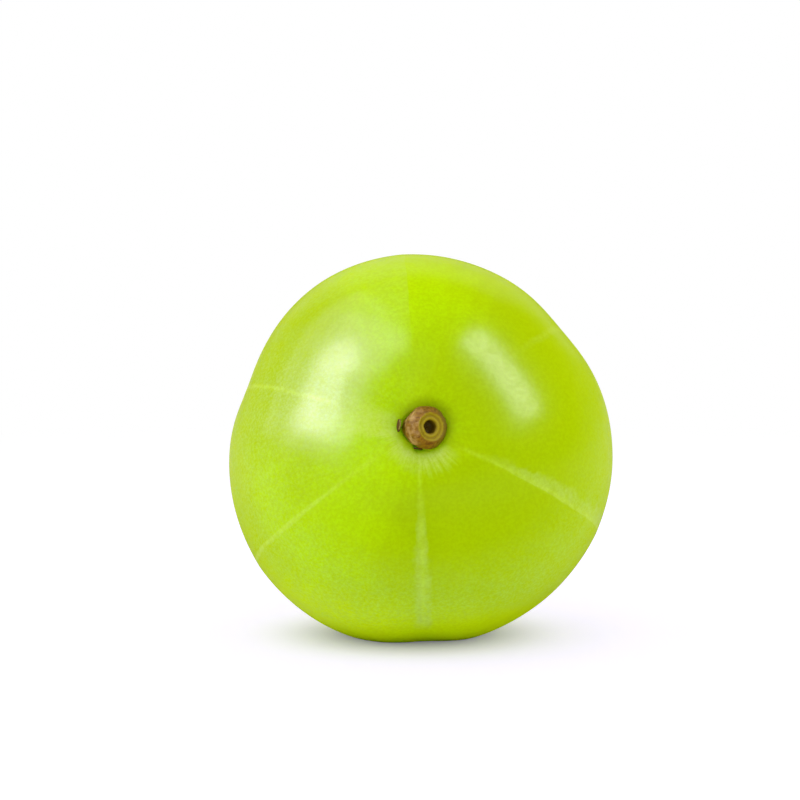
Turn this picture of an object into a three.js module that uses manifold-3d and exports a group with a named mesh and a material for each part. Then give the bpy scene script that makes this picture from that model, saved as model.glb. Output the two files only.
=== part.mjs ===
// Indian gooseberry (amla, Phyllanthus emblica): one whole fruit with its cut stalk stub,
// lying on its side on a small flat spot.
// Millimetres, +Z up. The origin is the centre of that flat spot. -Y is the stalk side.

import * as THREE from 'three';
import { mergeVertices } from 'three/addons/utils/BufferGeometryUtils.js';
import Module from 'manifold-3d';

const wasm = await Module();
wasm.setup();

const degrees = THREE.MathUtils.degToRad;
const { smoothstep } = THREE.MathUtils;

// The fruit, in its own frame: +Z is the stem axis, out through the stalk.
const EQUATOR_RADIUS = 20;        // mean, across the stem axis
const POLAR_RADIUS = 18.4;        // along it, before the hollows at the ends
const FULLNESS = 2.15;            // power of the side profile: 2 is an ellipse, more is squarer
const LOBES = { count: 3, share: 0.01, at: degrees(107) };
const OVAL = { count: 2, share: 0.0096, at: degrees(89) };
const STALK_HOLLOW = { depth: 1.3, spread: 3 };
const BLOSSOM_HOLLOW = { depth: 0.7, spread: 3.5 };

// Six seams run from end to end: three faint creases along the lobes, three shallow furrows between.
const SEAMS = [
  { at: degrees(40), height: -0.4, width: 4.2 },
  { at: degrees(95), height: 0.09, width: 2.2 },
  { at: degrees(161), height: -0.2, width: 3 },
  { at: degrees(216), height: 0.09, width: 2.2 },
  { at: degrees(272), height: -0.47, width: 2.9 },
  { at: degrees(335), height: 0.09, width: 2.2 },
];
const SUNKEN_SIDE = { at: degrees(154.4), height: -0.7, width: 7.1 }; // round the third seam
const SEAM_START = 4;             // distance from the stem axis where a seam reaches full height
const CREASE_ROUNDING = 0.3;

// How the fruit lies.
const STALK_RISE = degrees(15.4); // stem axis above level, pointing towards -Y
const FRUIT_CENTRE = new THREE.Vector3(0.62, 0, 18.9);
const FLAT_BLEND = 0.12;          // half height of the rounding where the flat spot meets the side

// The stalk stub, in its own frame: +Z out along the stub, 0 at its neck.
const STUB_LEAN = degrees(30);    // away from the stem axis
const STUB_TOWARDS = degrees(-8); // azimuth in the fruit's frame that it leans to
const STUB_FOOT = new THREE.Vector3(0.27, 0.24, 17.1);
const STUB_OUTLINE = [            // [radius, height] from the root, round the rim, to the bore
  [0, -1.5], [1.0, -1.45], [1.38, -1.1], [1.5, -0.7], [1.55, -0.3], [1.65, 0.05], [1.88, 0.4],
  [2.1, 0.85], [2.12, 1.2], [2.0, 1.65], [1.78, 2.05], [1.56, 2.3], [1.44, 2.36], [1.3, 2.28], [1.1, 2.14],
  [0.94, 2.16], [0.78, 2.14], [0.64, 1.95], [0.61, 1.35], [0.45, 1.2], [0, 1.2],
];

// The socket in the fruit round the stub, in the stub's frame.
const SOCKET = { radius: 2.5, floor: -1.8, rounding: 0.8, top: 8, shift: -0.1 };

// Two dried scales of the flower cup, standing in the socket against the stub.
const SCALES = [
  { name: 'sepal_remnant_left', at: degrees(176), sweep: degrees(34), top: 0.1, lean: 0.85 },
  { name: 'sepal_remnant_lower', at: degrees(252), sweep: degrees(26), top: 0.3, lean: 0.25 },
];
const SCALE_FOOT = { height: -1.2, radius: 1.98 };
const SCALE_THICKNESS = 0.18;
const SCALE_NARROWING = 0.45;     // share of its width that a scale loses at the tip

const SKIN_COLUMNS = 12;          // between one seam and the next
const SKIN_RINGS = 34;
const RING_CROWDING = 0.14;       // draws the rings towards the two ends
const COLUMN_CROWDING = 0.09;     // draws the columns towards the seams
const STUB_SIDES = 28;

const material = (color, roughness) => new THREE.MeshStandardMaterial({ color, roughness, metalness: 0 });
const skin = material(0xacd013, 0.35);
const bark = material(0x9a6a3c, 0.7);
const driedSepal = material(0x8a6338, 0.8);

// A closed mesh as a manifold solid, and back.
function toSolid(geometry) {
  const bare = geometry.clone();
  bare.deleteAttribute('normal');
  bare.deleteAttribute('uv');
  const merged = mergeVertices(bare, 1e-5);
  const vertProperties = new Float32Array(merged.attributes.position.array);
  const triVerts = new Uint32Array(merged.index.array);
  return new wasm.Manifold(new wasm.Mesh({ numProp: 3, vertProperties, triVerts }));
}

function toGeometry(solid) {
  const { vertProperties, triVerts } = solid.getMesh();
  const geometry = new THREE.BufferGeometry();
  geometry.setAttribute('position', new THREE.BufferAttribute(vertProperties, 3));
  geometry.setIndex(new THREE.BufferAttribute(triVerts, 1));
  geometry.computeVertexNormals();
  return geometry;
}

// A LatheGeometry turns about Y; this one turns about Z, from [radius, height] points.
function lathe(outline, sides) {
  const points = outline.map(([radius, height]) => new THREE.Vector2(radius, height));
  return new THREE.LatheGeometry(points, sides).rotateX(Math.PI / 2);
}

// Moves every vertex of a geometry by a function of its position.
function reshape(geometry, move) {
  const { position } = geometry.attributes;
  const point = new THREE.Vector3();
  for (let i = 0; i < position.count; i += 1) {
    move(point.fromBufferAttribute(position, i));
    position.setXYZ(i, point.x, point.y, point.z);
  }
  return geometry;
}

// Evenly spaced azimuths, redrawn so that every twelfth column lies on a seam.
function seamAzimuth(azimuth) {
  const sectors = SEAMS.length;
  const column = THREE.MathUtils.euclideanModulo(azimuth / (2 * Math.PI), 1) * sectors;
  const whole = Math.floor(column + 1e-6);
  const within = column - whole;
  const here = SEAMS[whole % sectors].at;
  const gap = THREE.MathUtils.euclideanModulo(SEAMS[(whole + 1) % sectors].at - here, 2 * Math.PI);
  return here + gap * (within - COLUMN_CROWDING * Math.sin(2 * Math.PI * within));
}

// Height of the seams and the sunken side over the plain skin at a point of it.
function seamHeight(x, y) {
  return [...SEAMS, SUNKEN_SIDE].reduce((sum, { at, height, width }) => {
    const along = x * Math.cos(at) + y * Math.sin(at);
    const across = y * Math.cos(at) - x * Math.sin(at);
    const crease = Math.exp(-Math.hypot(across, CREASE_ROUNDING) / width);
    const furrow = Math.exp(-((across / width) ** 2));
    return sum + height * (height > 0 ? crease : furrow) * smoothstep(along, 0, SEAM_START);
  }, 0);
}

function skinRadius(polar, azimuth) {
  const sine = Math.sin(polar);
  const cosine = Math.abs(Math.cos(polar));
  const across = (sine / EQUATOR_RADIUS) ** FULLNESS;
  const endwise = (cosine / POLAR_RADIUS) ** FULLNESS;
  const profile = (across + endwise) ** (-1 / FULLNESS);
  const swelling = [LOBES, OVAL].reduce(
    (sum, { count, share, at }) => sum + share * Math.cos(count * (azimuth - at)),
    0,
  );
  const plain = profile * (1 + swelling * sine ** 2);
  const fromAxis = plain * sine;
  const end = polar < Math.PI / 2 ? STALK_HOLLOW : BLOSSOM_HOLLOW;
  const hollow = end.depth * Math.exp(-((fromAxis / end.spread) ** 2));
  return plain - hollow + seamHeight(fromAxis * Math.cos(azimuth), fromAxis * Math.sin(azimuth));
}

// Height above the ground, with everything below it pressed up to a flat spot.
function pressed(height) {
  if (height <= -FLAT_BLEND) return 0;
  if (height >= FLAT_BLEND) return height;
  return (height + FLAT_BLEND) ** 2 / (4 * FLAT_BLEND);
}

function fruitGeometry() {
  const up = new THREE.Vector3(0, Math.cos(STALK_RISE), Math.sin(STALK_RISE));
  const columns = SEAMS.length * SKIN_COLUMNS;
  const sphere = new THREE.SphereGeometry(1, columns, SKIN_RINGS).rotateX(Math.PI / 2);
  return reshape(sphere, (point) => {
    const even = Math.acos(THREE.MathUtils.clamp(point.z, -1, 1));
    const polar = even - RING_CROWDING * Math.sin(2 * even);
    const azimuth = seamAzimuth(Math.atan2(point.y, point.x));
    const radius = skinRadius(polar, azimuth);
    const fromAxis = radius * Math.sin(polar);
    point.set(fromAxis * Math.cos(azimuth), fromAxis * Math.sin(azimuth), radius * Math.cos(polar));
    const height = point.dot(up) + FRUIT_CENTRE.z;
    point.addScaledVector(up, pressed(height) - height);
  });
}

function socketGeometry() {
  const { radius, floor, rounding, top, shift } = SOCKET;
  const corner = [1, 2, 3].map((step) => {
    const turn = (step / 4) * (Math.PI / 2);
    return [radius - rounding * (1 - Math.sin(turn)), floor + rounding * (1 - Math.cos(turn))];
  });
  const outline = [
    [0, floor], [radius - rounding, floor], ...corner, [radius, floor + rounding], [radius, top], [0, top],
  ];
  return lathe(outline, STUB_SIDES).translate(shift, shift, 0);
}

// A scale is a slice of a ring that narrows and leans out as it rises.
function scaleGeometry({ at, sweep, top, lean }) {
  const slice = new THREE.Shape();
  slice.absarc(0, 0, SCALE_FOOT.radius + SCALE_THICKNESS, -sweep / 2, sweep / 2, false);
  slice.absarc(0, 0, SCALE_FOOT.radius, sweep / 2, -sweep / 2, true);
  const height = top - SCALE_FOOT.height;
  const extrusion = { depth: height, steps: 4, bevelEnabled: false, curveSegments: 6 };
  const block = new THREE.ExtrudeGeometry(slice, extrusion);
  reshape(block, (point) => {
    const rise = (point.z / height) ** 2;
    const distance = Math.hypot(point.x, point.y) + lean * rise;
    const turn = Math.atan2(point.y, point.x) * (1 - SCALE_NARROWING * rise);
    point.set(distance * Math.cos(turn), distance * Math.sin(turn), point.z + SCALE_FOOT.height);
  });
  return block.rotateZ(at);
}

const stalkFrame = new THREE.Group();
stalkFrame.position.copy(STUB_FOOT);
const stubDirection = new THREE.Vector3(
  Math.sin(STUB_LEAN) * Math.cos(STUB_TOWARDS),
  Math.sin(STUB_LEAN) * Math.sin(STUB_TOWARDS),
  Math.cos(STUB_LEAN),
);
stalkFrame.quaternion.setFromUnitVectors(new THREE.Vector3(0, 0, 1), stubDirection);
stalkFrame.updateMatrix();

const socket = toSolid(socketGeometry().applyMatrix4(stalkFrame.matrix));
const fruit = new THREE.Mesh(toGeometry(toSolid(fruitGeometry()).subtract(socket)), skin);
fruit.name = 'fruit';

const stub = new THREE.Mesh(lathe(STUB_OUTLINE, STUB_SIDES), bark);
stub.name = 'stalk_stub';
stalkFrame.add(stub);

for (const shape of SCALES) {
  const scale = new THREE.Mesh(scaleGeometry(shape), driedSepal);
  scale.name = shape.name;
  stalkFrame.add(scale);
}

const fruitFrame = new THREE.Group();
fruitFrame.position.copy(FRUIT_CENTRE);
fruitFrame.rotation.x = Math.PI / 2 - STALK_RISE;
fruitFrame.add(fruit, stalkFrame);

const gooseberry = new THREE.Group();
gooseberry.name = 'indian_gooseberry';
gooseberry.add(fruitFrame);

export default gooseberry;
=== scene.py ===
"""An Indian gooseberry (amla): one whole fruit with its cut stalk stub, resting on its side.

Sizes are in millimetres, in the fruit's own frame (+Z out through the stalk) or in the stub's, and
MM brings them to metres where a mesh or a coordinate is placed. Lights and the table are in metres.
"""

import math
from itertools import product

import bpy
from mathutils import Euler, Matrix, Vector, noise


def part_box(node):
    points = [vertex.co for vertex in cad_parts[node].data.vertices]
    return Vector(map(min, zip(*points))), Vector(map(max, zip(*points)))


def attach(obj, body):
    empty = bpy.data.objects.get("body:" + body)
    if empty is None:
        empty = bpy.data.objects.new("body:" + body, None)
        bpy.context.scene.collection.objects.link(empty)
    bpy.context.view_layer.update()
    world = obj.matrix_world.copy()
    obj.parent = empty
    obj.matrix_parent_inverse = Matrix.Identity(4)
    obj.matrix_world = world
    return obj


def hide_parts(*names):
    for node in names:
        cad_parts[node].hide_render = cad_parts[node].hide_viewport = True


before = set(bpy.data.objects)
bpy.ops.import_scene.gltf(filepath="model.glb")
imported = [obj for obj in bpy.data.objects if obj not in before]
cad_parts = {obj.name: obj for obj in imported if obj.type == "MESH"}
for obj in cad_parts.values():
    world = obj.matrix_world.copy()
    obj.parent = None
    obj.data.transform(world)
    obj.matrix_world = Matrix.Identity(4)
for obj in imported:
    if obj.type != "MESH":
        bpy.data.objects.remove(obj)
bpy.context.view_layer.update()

# ---------------------------------------------------------------------------------------------
# Camera: a long lens a little above level, facing the stalk. The fruit sits low and right of the
# middle of the picture, so the camera looks past its upper left side.
# ---------------------------------------------------------------------------------------------
MM = 0.001
CAMERA_RISE = math.radians(8)
CAMERA_DISTANCE = 458.5 * MM
CAMERA_LENS = 200
CAMERA_FILM = 36
AIM_LEFT = 2.13 * MM
AIM_ABOVE = 4.63 * MM

fruit_low, fruit_high = (Vector(corner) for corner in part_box("fruit"))
fruit_middle = (fruit_low + fruit_high) / 2
towards_camera = Vector((0, -math.cos(CAMERA_RISE), math.sin(CAMERA_RISE)))
camera_up = Vector((0, math.sin(CAMERA_RISE), math.cos(CAMERA_RISE)))
bpy.context.scene.view_settings.view_transform = "Standard"
camera = bpy.data.objects.new("camera", bpy.data.cameras.new("camera"))
camera.data.lens = CAMERA_LENS
camera.data.sensor_width = CAMERA_FILM
camera.data.clip_start = 10 * MM
camera.location = fruit_middle + towards_camera * CAMERA_DISTANCE
aim = fruit_middle - Vector((AIM_LEFT, 0, 0)) + camera_up * AIM_ABOVE
camera.rotation_euler = (aim - camera.location).to_track_quat("-Z", "Y").to_euler()
bpy.context.scene.collection.objects.link(camera)
bpy.context.scene.camera = camera

# ---------------------------------------------------------------------------------------------
# Fruit: one grown body of crisp flesh under a taut waxy skin, squatter than round and faintly
# three-sided. Six seams run from end to end, each end has a hollow, with a tight pit round the
# stalk, and it rests on a small flat spot.
# ---------------------------------------------------------------------------------------------


class Wire:
    """A socket that takes part in arithmetic: each operation adds its Math node."""

    def __init__(self, net, socket):
        self.net = net
        self.socket = socket

    def __add__(self, other):
        return self.net.math("ADD", self, other)

    def __radd__(self, other):
        return self.net.math("ADD", other, self)

    def __sub__(self, other):
        return self.net.math("SUBTRACT", self, other)

    def __rsub__(self, other):
        return self.net.math("SUBTRACT", other, self)

    def __mul__(self, other):
        return self.net.math("MULTIPLY", self, other)

    def __rmul__(self, other):
        return self.net.math("MULTIPLY", other, self)

    def __truediv__(self, other):
        return self.net.math("DIVIDE", self, other)

    def __rtruediv__(self, other):
        return self.net.math("DIVIDE", other, self)

    def __pow__(self, power):
        return self.net.math("POWER", self, power)

    def __abs__(self):
        return self.net.math("ABSOLUTE", self)

    def sin(self):
        return self.net.math("SINE", self)

    def cos(self):
        return self.net.math("COSINE", self)

    def exp(self):
        return self.net.math("EXPONENT", self)

    def root(self):
        return self.net.math("SQRT", self)

    def bell(self, width):
        """1 at zero, falling away on both sides over the width."""
        return ((self / width) * (self / width) * -1).exp()

    def plateau(self, width):
        """1 round zero, falling away on both sides between 0.5 and 1.2 of the width."""
        return abs(self / width).rise(0.5, 1.2, 1.0, 0.0)

    def rise(self, low, high, bottom=0.0, top=1.0):
        """Smoothly from bottom at low to top at high."""
        sockets = {"Value": self, "From Min": low, "From Max": high, "To Min": bottom, "To Max": top}
        return self.net.node("ShaderNodeMapRange", {"interpolation_type": "SMOOTHSTEP"}, sockets)


class Net:
    """A node tree in the making."""

    def __init__(self, tree):
        self.tree = tree
        tree.nodes.clear()

    def node(self, kind, settings=None, sockets=None, out=0):
        """Adds a node and hands back the output called out, or a tuple of them, as wires."""
        made = self.tree.nodes.new(kind)
        for name, value in (settings or {}).items():
            setattr(made, name, value)
        for name, value in (sockets or {}).items():
            socket = self.pick(made.inputs, name)
            if isinstance(value, Wire):
                self.tree.links.new(value.socket, socket)
            else:
                socket.default_value = value
        if isinstance(out, tuple):
            return tuple(Wire(self, self.pick(made.outputs, name)) for name in out)
        return Wire(self, self.pick(made.outputs, out)) if made.outputs else made

    def pick(self, sockets, name):
        live = [socket for socket in sockets if socket.enabled]
        return live[name] if isinstance(name, int) else next(s for s in live if s.name == name)

    def math(self, operation, *values):
        return self.node("ShaderNodeMath", {"operation": operation}, dict(enumerate(values)))

    def mix(self, amount, first, second):
        """The second colour laid over the first by an amount from 0 to 1."""
        sockets = {"Factor": amount, "A": first, "B": second}
        return self.node("ShaderNodeMix", {"data_type": "RGBA"}, sockets, "Result")

    def noise(self, place, size, detail=2.0, roughness=0.5):
        """Cloudy noise round 0.5 whose patches are about size across."""
        sockets = {"Vector": place, "Scale": 1 / size, "Detail": detail, "Roughness": roughness}
        return self.node("ShaderNodeTexNoise", {}, sockets, 0)

    def vector(self, x, y, z):
        return self.node("ShaderNodeCombineXYZ", {}, {"X": x, "Y": y, "Z": z})


def srgb(red, green, blue):
    """A colour given as 0-255 values, in the linear form that sockets take."""
    shares = [value / 255 for value in (red, green, blue)]
    linear = [s / 12.92 if s <= 0.04045 else ((s + 0.055) / 1.055) ** 2.4 for s in shares]
    return (*linear, 1.0)


# How the fruit lies: its centre, and its stem axis, which points at the viewer and a little up.
FRUIT_CENTRE = Vector((0.62, 0, 18.9))
STALK_RISE = math.radians(15.4)
FRUIT_TURN = Euler((math.pi / 2 - STALK_RISE, 0, 0))
FRUIT_UP = (0, math.cos(STALK_RISE), math.sin(STALK_RISE))

# The six seams: azimuth in degrees, height (below zero is a furrow) and breadth. The skin is also
# sunken more broadly round the third.
SEAMS = (
    (40, -0.4, 4.2),
    (95, 0.09, 2.2),
    (161, -0.2, 3.0),
    (216, 0.09, 2.2),
    (272, -0.47, 2.9),
    (335, 0.09, 2.2),
)
SUNKEN_SIDE = (154.4, -0.7, 7.1)

# The skin's sizes, as the named inputs of its tree of geometry nodes.
SKIN_SIZES = {
    "Equator radius": 20.0,
    "Polar radius": 18.4,
    "Fullness": 2.15,
    "Lobe share": 0.01,
    "Lobe azimuth": math.radians(107),
    "Oval share": 0.0096,
    "Oval azimuth": math.radians(89),
    "Stalk hollow depth": 1.3,
    "Stalk hollow spread": 3.0,
    "Blossom hollow depth": 0.7,
    "Blossom hollow spread": 3.5,
    "Seam start": 4.0,
    "Crease rounding": 0.3,
    "Unevenness": 0.2,
    "Pit depth": 0.5,
    "Pit radius": 2.0,
    "Pit wall": 0.6,
    "Crevice depth": 1.1,
    "Crevice radius": 0.42,
    "Scar height": 0.25,
    "Scar radius": 0.6,
    "Flat blend": 0.12,
}
SKIN_COLUMNS = 384
SKIN_RINGS = 200
RING_CROWDING = 0.33  # draws the rings towards the two ends
LUMP_SHARE = 0.625  # of the radius: how broad the skin's slight lumps are

# The stalk stub leans away from the stem axis; its own frame has +Z out along it.
STUB_LEAN = math.radians(30)
STUB_TOWARDS = math.radians(-8)
STUB_FOOT = Vector((0.27, 0.24, 17.1))
CREVICE = Vector((0.15, -1.65))  # where the skin parts from the stub, across the stem axis
stub_direction = Vector(
    (
        math.sin(STUB_LEAN) * math.cos(STUB_TOWARDS),
        math.sin(STUB_LEAN) * math.sin(STUB_TOWARDS),
        math.cos(STUB_LEAN),
    )
)


def dot(net, place, direction):
    sockets = {0: place, 1: direction}
    return net.node("ShaderNodeVectorMath", {"operation": "DOT_PRODUCT"}, sockets, "Value")


def length(net, place):
    return net.node("ShaderNodeVectorMath", {"operation": "LENGTH"}, {0: place}, "Value")


def push(net, place, direction, distance):
    """The place moved by a distance along a fixed direction."""
    sockets = {0: direction, "Scale": distance}
    step = net.node("ShaderNodeVectorMath", {"operation": "SCALE"}, sockets)
    return net.node("ShaderNodeVectorMath", {"operation": "ADD"}, {0: place, 1: step})


def span(x, y):
    """How far a place lies from an axis, from its two distances across it."""
    return (x * x + y * y).root()


def along_and_aside(x, y, azimuth):
    """How far a place lies out along an azimuth, and how far to the side of it."""
    cos_at, sin_at = math.cos(azimuth), math.sin(azimuth)
    return x * cos_at + y * sin_at, y * cos_at - x * sin_at


def skin_shape(material):
    """The tree that bends a sphere of rings and columns to the fruit's skin."""
    tree = bpy.data.node_groups.new("skin shape", "GeometryNodeTree")
    net = Net(tree)
    tree.interface.new_socket("Geometry", in_out="OUTPUT", socket_type="NodeSocketGeometry")
    for name in SKIN_SIZES:
        tree.interface.new_socket(name, in_out="INPUT", socket_type="NodeSocketFloat")
    size = dict(zip(SKIN_SIZES, net.node("NodeGroupInput", out=tuple(SKIN_SIZES))))

    facets = {"Segments": SKIN_COLUMNS, "Rings": SKIN_RINGS, "Radius": 1.0}
    sphere = net.node("GeometryNodeMeshUVSphere", {}, facets, "Mesh")
    start = net.node("GeometryNodeInputPosition")
    x, y, z = net.node("ShaderNodeSeparateXYZ", {}, {0: start}, ("X", "Y", "Z"))
    even = net.math("ARCCOSINE", z)
    polar = even - RING_CROWDING * (even * 2).sin()
    azimuth = net.math("ARCTAN2", y, x)
    sine = polar.sin()
    cosine = polar.cos()

    across = (sine / size["Equator radius"]) ** size["Fullness"]
    endwise = (abs(cosine) / size["Polar radius"]) ** size["Fullness"]
    profile = (across + endwise) ** (-1 / size["Fullness"])
    lobes = size["Lobe share"] * (3 * (azimuth - size["Lobe azimuth"])).cos()
    oval = size["Oval share"] * (2 * (azimuth - size["Oval azimuth"])).cos()
    plain = profile * (1 + (lobes + oval) * sine * sine)

    # A hollow at each end, with the blossom's scar standing in its own.
    from_axis = plain * sine
    stalk_end = cosine.rise(-0.01, 0.01)
    stalk_hollow = size["Stalk hollow depth"] * from_axis.bell(size["Stalk hollow spread"])
    blossom_hollow = size["Blossom hollow depth"] * from_axis.bell(size["Blossom hollow spread"])
    scar = size["Scar height"] * from_axis.bell(size["Scar radius"])
    radius = plain - stalk_hollow * stalk_end + (scar - blossom_hollow) * (1 - stalk_end)

    # The seams: a sharp crease where the height is above zero, and a soft furrow where it is below.
    side_x = from_axis * azimuth.cos()
    side_y = from_axis * azimuth.sin()
    for degrees, height, breadth in (*SEAMS, SUNKEN_SIDE):
        along, aside = along_and_aside(side_x, side_y, math.radians(degrees))
        if height > 0:
            form = ((aside * aside + size["Crease rounding"] ** 2).root() / -breadth).exp()
        else:
            form = aside.bell(breadth)
        radius = radius + height * form * along.rise(0, size["Seam start"])
    radius = radius + size["Unevenness"] * (net.noise(start, LUMP_SHARE, 1.0) - 0.5)

    ring = radius * sine
    place = net.vector(ring * azimuth.cos(), ring * azimuth.sin(), radius * cosine)

    # The pit lies round the stub's own axis, and the crevice below the stub.
    from_foot = push(net, place, tuple(-STUB_FOOT), 1.0)
    up_stub = dot(net, from_foot, tuple(stub_direction))
    from_stub = length(net, push(net, from_foot, tuple(-stub_direction), up_stub))
    pit_floor = size["Pit radius"] - size["Pit wall"]
    pit = size["Pit depth"] * from_stub.rise(pit_floor, size["Pit radius"], 1.0, 0.0)
    x, y = net.node("ShaderNodeSeparateXYZ", {}, {0: place}, ("X", "Y"))
    crevice = span(x - CREVICE.x, y - CREVICE.y).bell(size["Crevice radius"])
    sunk = (pit + size["Crevice depth"] * crevice) * stalk_end
    place = push(net, place, tuple(-stub_direction), sunk)

    # What would lie below the table is pressed up flat, with a small rounding at the edge.
    height = dot(net, place, FRUIT_UP) + FRUIT_CENTRE.z
    blend = size["Flat blend"]
    lifted = net.math("MAXIMUM", height + blend, 0.0)
    rounded = lifted * lifted / (4 * blend)
    beyond = net.math("GREATER_THAN", height, blend)
    pressed = beyond * height + (1 - beyond) * rounded
    place = push(net, place, FRUIT_UP, pressed - height)

    skin = net.node("GeometryNodeSetPosition", {}, {"Geometry": sphere, "Position": place})
    sockets = {
        "Geometry": skin,
        "Translation": FRUIT_CENTRE * MM,
        "Rotation": FRUIT_TURN,
        "Scale": (MM, MM, MM),
    }
    lying = net.node("GeometryNodeTransform", {}, sockets)
    real = net.node("GeometryNodeRealizeInstances", {}, {"Geometry": lying})
    dressed = net.node("GeometryNodeSetMaterial", {}, {"Geometry": real, "Material": material})
    net.node("NodeGroupOutput", {}, {"Geometry": dressed})
    return tree


def grown(name, tree, sizes):
    """The plain mesh object that a tree of geometry nodes makes with these sizes."""
    seed = bpy.data.objects.new(name + "_seed", bpy.data.meshes.new(name + "_seed"))
    bpy.context.scene.collection.objects.link(seed)
    maker = seed.modifiers.new("maker", "NODES")
    maker.node_group = tree
    for item in tree.interface.items_tree:
        if item.in_out == "INPUT":
            maker[item.identifier] = sizes[item.name]
    graph = bpy.context.evaluated_depsgraph_get()
    mesh = bpy.data.meshes.new_from_object(seed.evaluated_get(graph), depsgraph=graph)
    mesh.shade_smooth()
    bpy.data.objects.remove(seed)
    mesh.name = name
    piece = bpy.data.objects.new(name, mesh)
    bpy.context.scene.collection.objects.link(piece)
    return piece


def new_material(name):
    material = bpy.data.materials.new(name)
    material.use_nodes = True
    return material, Net(material.node_tree)


def own_frame(net, origin, turn):
    """Object coordinates read in a piece's own frame, in millimetres."""
    place = net.node("ShaderNodeTexCoord", out="Object")
    sockets = {"Vector": place, "Location": origin, "Rotation": turn, "Scale": (MM, MM, MM)}
    return net.node("ShaderNodeMapping", {"vector_type": "TEXTURE"}, sockets)


# Skin: waxy, taut and a little see-through, yellow-green, with fine olive pores. Pale lines run
# along the seams. A pale crescent of streaks round the stalk is a painted highlight, a fine pale veil
# on the sides and below is partly bloom and partly a painted reflection, and pale speckle left of the
# stalk is a painted highlight. The ground colour carries painted light and shade.
LEAF_GREEN = srgb(178, 208, 1)
LIGHT_GREEN = srgb(191, 231, 2)
PAINTED_LIGHT_UNDERSIDE_GREEN = srgb(214, 245, 3)
OLIVE_GREEN = srgb(140, 158, 0)
LINE_GREEN = srgb(212, 241, 66)
CRESCENT_HIGHLIGHT_GREEN = srgb(214, 236, 112)
BLOOM_AND_REFLECTION_GREEN = srgb(188, 233, 110)
BAND_GREEN = srgb(198, 226, 112)
HIGHLIGHT_SPECKLE_GREEN = srgb(212, 240, 140)
SCAR_BROWN = srgb(96, 66, 20)

# The pale lines along the seams: azimuth, how far from the stem axis each starts, how strongly its
# fine thread and its broad band show, and the reach of the band clockwise and anticlockwise.
SEAM_LINES = (
    (40, 9.0, 0.1, 0.1, 0.5, 0.5),
    # This line's broad band, reaching far anticlockwise, is painted light: the lit side of its crease.
    (94.5, 4.0, 0.0, 0.14, 0.1, 5.0),
    (160.5, 7.5, 0.6, 0.08, 0.3, 0.3),
    (214, 4.0, 0.35, 0.35, 0.25, 0.35),
    (272, 2.6, 0.25, 0.45, 1.0, 0.85),
    (336.3, 3.0, 0.28, 0.4, 0.25, 1.5),
)
THREAD = 0.24  # half the breadth of a thread
SEAM_WANDER = 0.5  # how far a line strays, from side to side

# Across the stem axis: the middle of the painted shade on the upper left, which darkens the skin
# under the left highlight, and that of the painted highlight speckle, each with its reach.
PAINTED_SHADE_MIDDLE = Vector((-14, 8))
PAINTED_SHADE_REACH = 9
HIGHLIGHT_SPECKLE_MIDDLE = Vector((-11, 3))
HIGHLIGHT_SPECKLE_REACH = 6.5
PORE_SIZE = 0.38  # from pore to pore

# The crescent round the stalk, a painted highlight: the azimuths of its middle and its two ends,
# where the long fan on its left stops, and where a notch lies beside the fan. Then how far out it and
# the fan reach.
STALK_MIDDLE = Vector((0.6, 0.4))
CRESCENT_MIDDLE = math.radians(250)
CRESCENT_START = math.radians(151)
FAN_END = math.radians(192)
NOTCH = math.radians(205)
CRESCENT_END = math.radians(325)
CRESCENT_REACH = 4.4
FAN_BEYOND = 3.9


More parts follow.
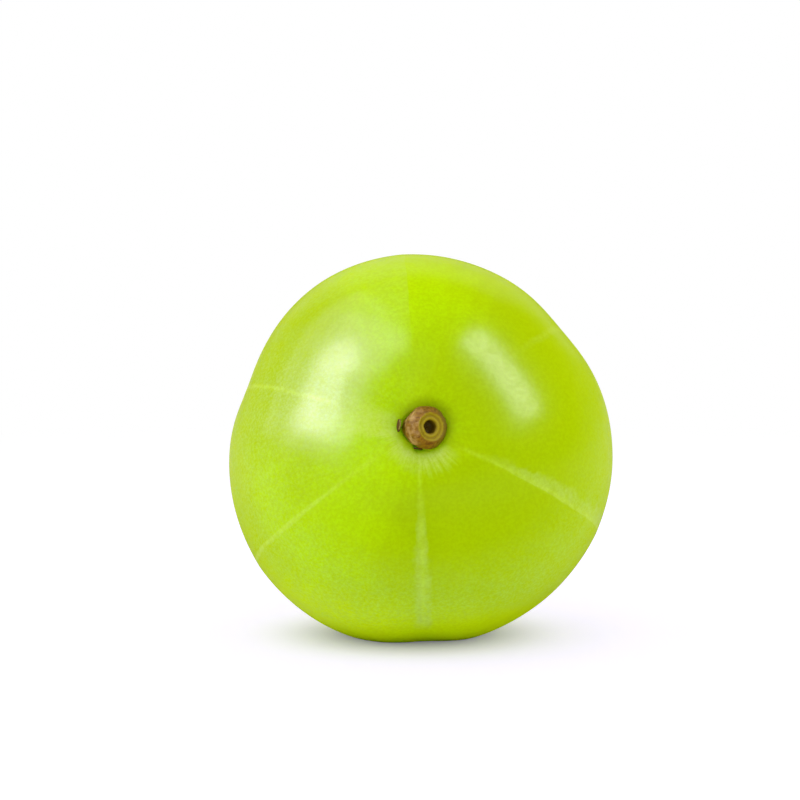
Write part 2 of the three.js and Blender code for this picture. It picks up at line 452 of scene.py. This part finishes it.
def skin_material():
    material, net = new_material("amla skin")
    place = own_frame(net, FRUIT_CENTRE * MM, FRUIT_TURN)
    x, y, z = net.node("ShaderNodeSeparateXYZ", {}, {0: place}, ("X", "Y", "Z"))
    from_axis = span(x, y)
    stalk_side = z.rise(-4, 4)
    above_table = y * FRUIT_UP[1] + z * FRUIT_UP[2] + FRUIT_CENTRE.z
    spokes = net.vector(x / from_axis * 12, y / from_axis * 12, from_axis * 0.25)
    streaks = net.noise(spokes, 1.0, 3.0, 0.6)
    outward = from_axis - z * 0.6 - x * 0.1 - y * 0.25  # grows from the stalk to the blossom end

    # The ground colour, with painted light and shade: lighter on the left, at the crown, in the stalk
    # hollow and towards the table, a little darker towards the outline, and painted shade on the cheek
    # under the left highlight.
    painted_light_left = (x - y * 0.3).rise(-9, 9, 0.45, 0.0) - outward.rise(12, 18, 0.0, 0.25)
    painted_shade_cheek = span(x - PAINTED_SHADE_MIDDLE.x, y - PAINTED_SHADE_MIDDLE.y).bell(PAINTED_SHADE_REACH)
    painted_light_crown = x.bell(8) * y.rise(5, 15, 0.0, 0.22) * y.rise(16, 19, 1.0, 0.0)
    hollow = from_axis.rise(3, 9, 0.2, 0.0)
    uneven = net.noise(place, 9.0, 3.0) * 0.5 + (streaks - 0.5) * 0.25 + 0.05
    tone = uneven + painted_light_left + painted_light_crown + hollow - painted_shade_cheek * 0.6
    colour = net.mix(tone.rise(0.4, 0.85), LEAF_GREEN, LIGHT_GREEN)
    # Painted light: paler towards the table, lifting the shade under the fruit.
    colour = net.mix((above_table + x * 0.12).rise(0.8, 7.8), PAINTED_LIGHT_UNDERSIDE_GREEN, colour)

    # Lines along the seams.
    wander = net.noise(place, 5.0) - 0.5
    patchy = net.noise(place, 1.2, 5.0, 0.6).rise(0.3, 0.65, 0.45, 1.1) * above_table.rise(2.0, 3.4)
    ragged = net.noise(place, 1.0, 3.0).rise(0.2, 0.8, 0.65, 1.35)
    threads, bands = 0.0, 0.0
    for degrees, start, thread, band, clockwise, anticlockwise in SEAM_LINES:
        along, aside = along_and_aside(x, y, math.radians(degrees))
        aside = aside + wander * SEAM_WANDER
        width = aside.rise(-0.1, 0.1, clockwise, anticlockwise) * along.rise(5, 17, 0.35, 1.0) * ragged
        threads = threads + aside.bell(THREAD) * along.rise(start, start + 2.5) * thread
        bands = bands + aside.plateau(width) * along.rise(start + 3, start + 10) * band
    colour = net.mix(bands * patchy, colour, BAND_GREEN)
    colour = net.mix(threads * patchy, colour, LINE_GREEN)

    # Bloom and painted reflection: a cloudy pale veil that thickens towards the outline and down the
    # sides, and is absent close to the table.
    clouds = net.noise(place, 1.9, 6.0, 0.65).rise(0.32, 0.72)
    grain = net.noise(place, 0.3, 3.0, 0.7).rise(0.36, 0.68)
    veil = (outward - x * 0.06).rise(4.5, 16) * (above_table - x * 0.12).rise(1.8, 5.0)
    bloom_and_reflection = veil * (0.02 + 0.16 * clouds + 0.28 * grain)
    colour = net.mix(bloom_and_reflection, colour, BLOOM_AND_REFLECTION_GREEN)
    # Painted highlight: pale speckle left of the stalk, where the left highlight lies.
    highlight_speckle = span(x - HIGHLIGHT_SPECKLE_MIDDLE.x, y - HIGHLIGHT_SPECKLE_MIDDLE.y).bell(HIGHLIGHT_SPECKLE_REACH) * stalk_side
    colour = net.mix(highlight_speckle * (0.12 * clouds + 0.3 * grain), colour, HIGHLIGHT_SPECKLE_GREEN)

    # Pores: fine darker specks, which dull the wax as well.
    mottle = net.noise(place, PORE_SIZE, 3.0, 0.7)
    colour = net.mix(mottle.rise(0.35, 0.65, 0.2, 0.0), colour, OLIVE_GREEN)

    # The crescent, a painted highlight on the hollow's lower flank, ragged on the outside, with a fan
    # of streaks to the left.
    stub_x, stub_y = x - STALK_MIDDLE.x, y - STALK_MIDDLE.y
    from_stub = span(stub_x, stub_y)
    along, aside = along_and_aside(stub_x, stub_y, CRESCENT_MIDDLE)
    turn = net.math("ARCTAN2", aside, along)
    start, end = CRESCENT_START - CRESCENT_MIDDLE, CRESCENT_END - CRESCENT_MIDDLE
    present = turn.rise(start, start + 0.3) * turn.rise(end - 0.4, end, 1.0, 0.0)
    fan = turn.rise(FAN_END - CRESCENT_MIDDLE - 0.2, FAN_END - CRESCENT_MIDDLE + 0.1, 1.0, 0.0)
    notch = (turn - NOTCH + CRESCENT_MIDDLE).bell(0.2)
    reach = CRESCENT_REACH + fan * FAN_BEYOND - notch * 0.8 + (streaks - 0.5) * 2.0
    ring = from_stub.rise(2.5, 3.2) * (from_stub / reach).rise(0.7, 1.2, 1.0, 0.0)
    broken = (streaks * 0.6 + clouds * 0.25 + grain * 0.25).rise(0.2, 0.75, 0.3, 1.3)
    crescent_highlight = ring * present * broken * (1 - fan * 0.3) * stalk_side
    colour = net.mix(crescent_highlight * 0.6, colour, CRESCENT_HIGHLIGHT_GREEN)

    # Painted shade: olive round the stalk, deepest on its right and upper side. Then the dry scar that
    # the blossom leaves.
    shade = (from_stub - stub_x * 0.12 - stub_y * 0.1).rise(2.0, 3.0, 0.4, 0.0) * stalk_side
    colour = net.mix(shade, colour, OLIVE_GREEN)
    scar = (from_axis + grain * 0.3).rise(0.6, 1.0, 0.9, 0.0) * (1 - stalk_side)
    colour = net.mix(scar, colour, SCAR_BROWN)

    # The wax shines unevenly, least at the pores, and not at all on the scar.
    shine = (mottle * 0.85 + clouds * 0.1 + 0.03).rise(0.28, 0.68, 0.28, 0.72) * (1 - scar)
    relief = grain * 0.4 + mottle + scar
    bump = net.node("ShaderNodeBump", {}, {"Strength": 0.09, "Distance": 0.15 * MM, "Height": relief})
    sockets = {
        "Base Color": colour,
        "Roughness": clouds.rise(0, 1, 0.36, 0.46) + scar * 0.3,
        "IOR": 1.5,
        "Specular IOR Level": 0.0,
        "Subsurface Weight": 1.0,
        "Subsurface Radius": (1.0, 0.9, 0.25),
        "Subsurface Scale": 7.0 * MM,
        "Coat Weight": shine,
        "Coat Roughness": 0.23,
        "Normal": bump,
    }
    finish = net.node("ShaderNodeBsdfPrincipled", {}, sockets)
    net.node("ShaderNodeOutputMaterial", {}, {"Surface": finish})
    return material


fruit = grown("fruit_skin", skin_shape(skin_material()), SKIN_SIZES)
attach(fruit, "root")
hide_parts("fruit")

# ---------------------------------------------------------------------------------------------
# Stalk stub: the last few millimetres of the woody stalk, snapped off above a swollen joint and
# still rooted in the pit. Brown wrinkled bark outside with a painted highlight on its left flank, an
# ochre end face with growth rings, and a small dark bore in its middle.
# ---------------------------------------------------------------------------------------------
# Radius and height of its side: from the root up round the rim, over the face and into the bore.
STUB_OUTLINE = (
    (0, -2.4), (0.9, -2.3), (1.35, -1.6), (1.5, -1.1), (1.62, -0.7), (1.74, -0.3), (1.88, 0.05),
    (2.02, 0.4), (2.12, 0.8), (2.12, 1.2), (2.02, 1.65), (1.8, 2.05), (1.58, 2.28), (1.46, 2.34),
    (1.32, 2.26), (1.12, 2.14), (0.94, 2.17), (0.78, 2.14), (0.66, 1.98), (0.62, 1.4), (0.45, 1.22),
    (0, 1.2),
)
STUB_SIDES = 128
STUB_STEPS = 6
WRINKLES = 0.035  # shares of the radius
SWELLINGS = 0.04
RIM_UNEVENNESS = 0.12
FACE_ASIDE = 0.15  # how far the cut face's middle lies off the stub's axis
FACE_RADIUS = 1.2  # where the face ends and the rim begins
RIM_BREADTH = 0.4

fruit_frame = Matrix.Translation(FRUIT_CENTRE) @ FRUIT_TURN.to_matrix().to_4x4()
stub_turn = Vector((0, 0, 1)).rotation_difference(stub_direction).to_matrix().to_4x4()
stub_frame = fruit_frame @ Matrix.Translation(STUB_FOOT) @ stub_turn


def smoothed(outline, steps):
    """Points along a soft curve through the outline's own points."""
    ends = [outline[0], *outline, outline[-1]]
    points = []
    for a, b, c, d in zip(ends, ends[1:], ends[2:], ends[3:]):
        a, b, c, d = (Vector(p) for p in (a, b, c, d))
        for step in range(steps):
            t = step / steps
            square, cube = 2 * a - 5 * b + 4 * c - d, 3 * b - a - 3 * c + d
            points.append((2 * b + (c - a) * t + square * t**2 + cube * t**3) / 2)
    return [*points, Vector(outline[-1])]


def meshed(name, points, faces):
    """A smooth mesh object in the scene, from its points in metres and its faces."""
    mesh = bpy.data.meshes.new(name)
    mesh.from_pydata(points, [], faces)
    mesh.update()
    mesh.shade_smooth()
    made = bpy.data.objects.new(name, mesh)
    bpy.context.scene.collection.objects.link(made)
    return made


def turned(name, outline, sides, place):
    """A closed turned mesh, from an outline that starts and ends on the axis.

    place(radius, angle, height) gives each point in metres.
    """
    rows = outline[1:-1]
    points = [place(0, 0, outline[0].y)]
    for row in rows:
        points += [place(row.x, 2 * math.pi * side / sides, row.y) for side in range(sides)]
    points.append(place(0, 0, outline[-1].y))
    faces = []
    for side in range(sides):
        beside = (side + 1) % sides
        faces.append((0, 1 + beside, 1 + side))
        for row in range(len(rows) - 1):
            here, above = 1 + row * sides, 1 + (row + 1) * sides
            faces.append((here + side, here + beside, above + beside, above + side))
        last = 1 + (len(rows) - 1) * sides
        faces.append((last + side, last + beside, len(points) - 1))
    return meshed(name, points, faces)


def bark_point(radius, angle, height):
    """A point of the stub, with its bark drawn into lengthwise wrinkles and an uneven rim."""
    around = Vector((math.cos(angle), math.sin(angle), 0))
    flank = min(1, max(0, (radius - FACE_RADIUS) / RIM_BREADTH))
    raised = min(1, max(0, height))
    wrinkle = noise.fractal(around * 3.2 + Vector((0, 0, height * 0.35)), 0.6, 2.2, 4)
    lumps = noise.noise(around * 1.1 + Vector((4, 0, height * 0.8)))
    rim = noise.noise(around * 1.7 + Vector((0, 7, 0)))
    radius = radius * (1 + flank * (WRINKLES * wrinkle + SWELLINGS * lumps))
    aside = -FACE_ASIDE * (1 - flank) * raised
    height = height + RIM_UNEVENNESS * rim * raised
    return (stub_frame @ (around * radius + Vector((aside, 0, height)))) * MM


BARK_HIGHLIGHT_TAN = srgb(196, 158, 96)
BARK_OCHRE = srgb(150, 108, 10)
BARK_BROWN = srgb(110, 70, 2)
BARK_OLIVE = srgb(116, 100, 0)
CUT_OCHRE = srgb(146, 124, 0)
CUT_PALE = srgb(174, 156, 16)
BORE_DARK = srgb(84, 66, 6)


def bark_material():
    material, net = new_material("stalk bark")
    place = own_frame(net, stub_frame.to_translation() * MM, stub_frame.to_euler())
    x, y, z = net.node("ShaderNodeSeparateXYZ", {}, {0: place}, ("X", "Y", "Z"))
    lengthwise = net.vector(x, y, z * 0.3)
    streaks = net.noise(lengthwise, 0.3, 4.0, 0.6)
    bark = net.mix(streaks.rise(0.3, 0.65), BARK_BROWN, BARK_OCHRE)
    # Painted highlight: a pale tan patch on the left flank.
    painted_light_left = net.noise(place, 1.1, 3.0).rise(0.45, 0.7) * x.rise(-0.6, -1.8)
    bark = net.mix(painted_light_left, bark, BARK_HIGHLIGHT_TAN)
    bark = net.mix(x.rise(-0.2, 1.4, 0.0, 0.85), bark, BARK_OLIVE)

    # The cut face: ochre with paler growth rings, a little off the middle of the stub.
    from_bore = span(x + FACE_ASIDE, y)
    rings = (from_bore * 14 + streaks * 3).sin().rise(-1, 1)
    face = net.mix(rings * 0.7, CUT_OCHRE, CUT_PALE)
    rim = (from_bore + (streaks - 0.5) * 0.4).rise(1.3, 1.55)
    below = z.rise(1.5, 2.0, 1.0, 0.0)
    colour = net.mix(net.math("MAXIMUM", rim, below), face, bark)
    colour = net.mix(from_bore.rise(0.6, 0.75, 1.0, 0.0), colour, BORE_DARK)
    relief = streaks + rings * 0.3
    bump = net.node("ShaderNodeBump", {}, {"Strength": 0.5, "Distance": 0.15 * MM, "Height": relief})
    sockets = {
        "Base Color": colour,
        "Roughness": streaks.rise(0, 1, 0.4, 0.65),
        "Specular IOR Level": 0.15,
        "Normal": bump,
    }
    finish = net.node("ShaderNodeBsdfPrincipled", {}, sockets)
    net.node("ShaderNodeOutputMaterial", {}, {"Surface": finish})
    return material


stub = turned("stub", smoothed(STUB_OUTLINE, STUB_STEPS), STUB_SIDES, bark_point)
stub.data.materials.append(bark_material())
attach(stub, "root")
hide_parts("stalk_stub")

# ---------------------------------------------------------------------------------------------
# Sepal remnants: two dried scales of the flower cup, thin, curled and brown with a paler edge,
# still standing in the pit against the stub. The lower one, dark, stands partly for the shadow in the
# gap under the stub's bulge.
# ---------------------------------------------------------------------------------------------
# Each one's place round the stub and its sweep, in degrees, then its top and its lean outwards.
SCALES = {
    "sepal_remnant_left": {"at": 175, "sweep": 36, "top": 0.25, "lean": 0.44},
    # Partly painted shade: the lower scale is a dark sheet in the shadowed gap under the stub.
    "sepal_remnant_lower": {"at": 264, "sweep": 34, "top": 0.45, "lean": 0.08},
}
SCALE_FOOT = -1.2
SCALE_RADIUS = 1.98
SCALE_THICKNESS = 0.14
SCALE_NARROWING = 0.45  # share of its breadth that a scale loses at the tip
SCALE_ROUNDING = 0.12  # share of its height that it loses at the sides
SCALE_CURL = 0.08  # how far its sides turn out
SCALE_RAGGEDNESS = 0.12
SCALE_ACROSS = 16
SCALE_ALONG = 14
SEPAL_AND_SHADE_BROWN = srgb(92, 60, 8)
SEPAL_EDGE = srgb(150, 136, 56)


def scale_sheet(name, at, sweep, top, lean):
    """A curved sheet that narrows, leans out and curls its ragged tip as it rises."""
    columns = SCALE_ACROSS + 1
    points = []
    for row, step in product(range(SCALE_ALONG + 1), range(columns)):
        rise = row / SCALE_ALONG
        side = 2 * step / SCALE_ACROSS - 1
        narrow = 1 - SCALE_NARROWING * rise**2
        angle = math.radians(at + side * sweep / 2 * narrow)
        ragged = SCALE_RAGGEDNESS * noise.noise(Vector((side * 3, at, 0))) * rise
        radius = SCALE_RADIUS + lean * rise**2 + SCALE_CURL * side**2 * rise
        height = SCALE_FOOT + (top - SCALE_FOOT) * rise * (1 - SCALE_ROUNDING * side**2) + ragged
        place = Vector((radius * math.cos(angle), radius * math.sin(angle), height))
        points.append((stub_frame @ place) * MM)
    faces = []
    for row, step in product(range(SCALE_ALONG), range(SCALE_ACROSS)):
        here, above = row * columns + step, (row + 1) * columns + step
        faces.append((here, here + 1, above + 1, above))
    sheet = meshed(name + "_scale", points, faces)
    wall = sheet.modifiers.new("wall", "SOLIDIFY")
    wall.thickness = SCALE_THICKNESS * MM
    wall.offset = 1
    return sheet


def scale_material():
    material, net = new_material("dried sepal")
    place = own_frame(net, stub_frame.to_translation() * MM, stub_frame.to_euler())
    x, y = net.node("ShaderNodeSeparateXYZ", {}, {0: place}, ("X", "Y"))
    fibres = net.noise(place, 0.35, 4.0, 0.6)
    outward = span(x, y) + fibres * 0.3
    colour = net.mix(outward.rise(2.48, 2.64), SEPAL_AND_SHADE_BROWN, SEPAL_EDGE)
    bump = net.node("ShaderNodeBump", {}, {"Strength": 0.4, "Distance": 0.1 * MM, "Height": fibres})
    sockets = {
        "Base Color": colour,
        "Roughness": fibres.rise(0, 1, 0.6, 0.85),
        "Specular IOR Level": 0.15,
        "Normal": bump,
    }
    finish = net.node("ShaderNodeBsdfPrincipled", {}, sockets)
    net.node("ShaderNodeOutputMaterial", {}, {"Surface": finish})
    return material


dried = scale_material()
for node, form in SCALES.items():
    scale = scale_sheet(node, **form)
    scale.data.materials.append(dried)
    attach(scale, "root")
    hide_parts(node)

# ---------------------------------------------------------------------------------------------
# Studio: a pale table under an even pale surround. The wax mirrors a window on the left, with its
# upper pane, blind and curtain, a tall strip light on the right and a pale sweep behind.
# ---------------------------------------------------------------------------------------------
LIGHT_DISTANCE = 0.7


def softbox(name, azimuth, elevation, breadth, height, radiance, in_gloss):
    """A soft light seen from the fruit at these angles and angular sizes, all in degrees.

    One that shows in gloss only makes a highlight; one that shows in diffuse light only shades.
    """
    azimuth, elevation = math.radians(azimuth), math.radians(elevation)
    away = Vector(
        (
            math.sin(azimuth) * math.cos(elevation),
            -math.cos(azimuth) * math.cos(elevation),
            math.sin(elevation),
        )
    )
    lamp = bpy.data.lights.new(name, "AREA")
    lamp.shape = "RECTANGLE"
    lamp.size = 2 * LIGHT_DISTANCE * math.tan(math.radians(breadth) / 2)
    lamp.size_y = 2 * LIGHT_DISTANCE * math.tan(math.radians(height) / 2)
    lamp.energy = radiance * math.pi * lamp.size * lamp.size_y
    light = bpy.data.objects.new(name, lamp)
    light.location = fruit_middle + away * LIGHT_DISTANCE
    light.rotation_euler = (-away).to_track_quat("-Z", "Y").to_euler()
    light.visible_diffuse = not in_gloss
    light.visible_glossy = in_gloss
    light.visible_camera = False
    bpy.context.scene.collection.objects.link(light)


softbox("window_left", azimuth=-66, elevation=36, breadth=26, height=15, radiance=14.5, in_gloss=True)
softbox("pane_left", azimuth=-62, elevation=47, breadth=17, height=10, radiance=7.5, in_gloss=True)
softbox("blind_left", azimuth=-63, elevation=44, breadth=48, height=44, radiance=3.5, in_gloss=True)
softbox("curtain_left", azimuth=-75, elevation=44, breadth=72, height=60, radiance=2.1, in_gloss=True)
softbox("strip_right", azimuth=66, elevation=42, breadth=18, height=31, radiance=10, in_gloss=True)
softbox("sweep_behind", azimuth=180, elevation=32, breadth=60, height=44, radiance=0.4, in_gloss=True)
softbox("key", azimuth=-60, elevation=30, breadth=60, height=60, radiance=0.1, in_gloss=False)

# The surround: a pale dome that grows a little dimmer towards the top. It lights, but doesn't show
# in gloss, and the camera sees it as plain white.
DOME_LOW = 1.13
DOME_HIGH = 0.93
WHITE = (1, 1, 1, 1)

world = bpy.data.worlds.new("surround")
world.use_nodes = True
bpy.context.scene.world = world
world.cycles_visibility.glossy = False
net = Net(world.node_tree)
seen = net.node("ShaderNodeLightPath", out="Is Camera Ray")
direction = net.node("ShaderNodeTexCoord", out="Generated")
upward = net.node("ShaderNodeSeparateXYZ", {}, {0: direction}, "Z")
level = seen + (1 - seen) * (DOME_LOW + (DOME_HIGH - DOME_LOW) * net.math("MAXIMUM", upward, 0.0))
surround = net.node("ShaderNodeBackground", {}, {"Color": WHITE, "Strength": level})
net.node("ShaderNodeOutputWorld", {}, {"Surface": surround})

# The table throws plain light back. The camera sees its shade faintly lilac, lifted by a glow that
# is weakest under the fruit, so the shadow there is partly painted, and further off it turns to plain
# white. Mirrored in the wax, it is dark near the fruit and grey further off.
TABLE_HALF = 4.0
TABLE_TONE = (0.95, 0.95, 0.95, 1)
TABLE_SEEN = (0.64, 0.59, 0.77, 1)
MIRRORED_NEAR = (0.03, 0.03, 0.03, 1)
MIRRORED_FAR = (0.25, 0.25, 0.25, 1)
GLOW_NEAR = (0.1155, 0.111, 0.123, 1)
GLOW_OPEN = (0.48125, 0.4625, 0.5125, 1)
BLACK = (0, 0, 0, 1)

corners = [(x * TABLE_HALF, y * TABLE_HALF, 0) for x, y in ((-1, -1), (1, -1), (1, 1), (-1, 1))]
table = meshed("table", corners, [(0, 1, 2, 3)])
material, net = new_material("pale table")
seen, glossy = net.node("ShaderNodeLightPath", out=("Is Camera Ray", "Is Glossy Ray"))
distance = length(net, net.node("ShaderNodeTexCoord", out="Object"))
tone = net.mix(seen, TABLE_TONE, TABLE_SEEN)
mirrored = net.mix(distance.rise(0.03, 0.12), MIRRORED_NEAR, MIRRORED_FAR)
paint = net.node("ShaderNodeBsdfDiffuse", {}, {"Color": net.mix(glossy, tone, mirrored)})
glow = net.mix(seen, BLACK, net.mix(distance.rise(0.003, 0.017), GLOW_NEAR, GLOW_OPEN))
lift = net.node("ShaderNodeEmission", {}, {"Color": glow, "Strength": 1.0})
lifted = net.node("ShaderNodeAddShader", {}, {0: paint, 1: lift})
white = net.node("ShaderNodeEmission", {}, {"Color": WHITE, "Strength": 1.0})
far = seen * distance.rise(0.07, 0.16)
mixed = net.node("ShaderNodeMixShader", {}, {0: far, 1: lifted, 2: white})
net.node("ShaderNodeOutputMaterial", {}, {"Surface": mixed})
table.data.materials.append(material)
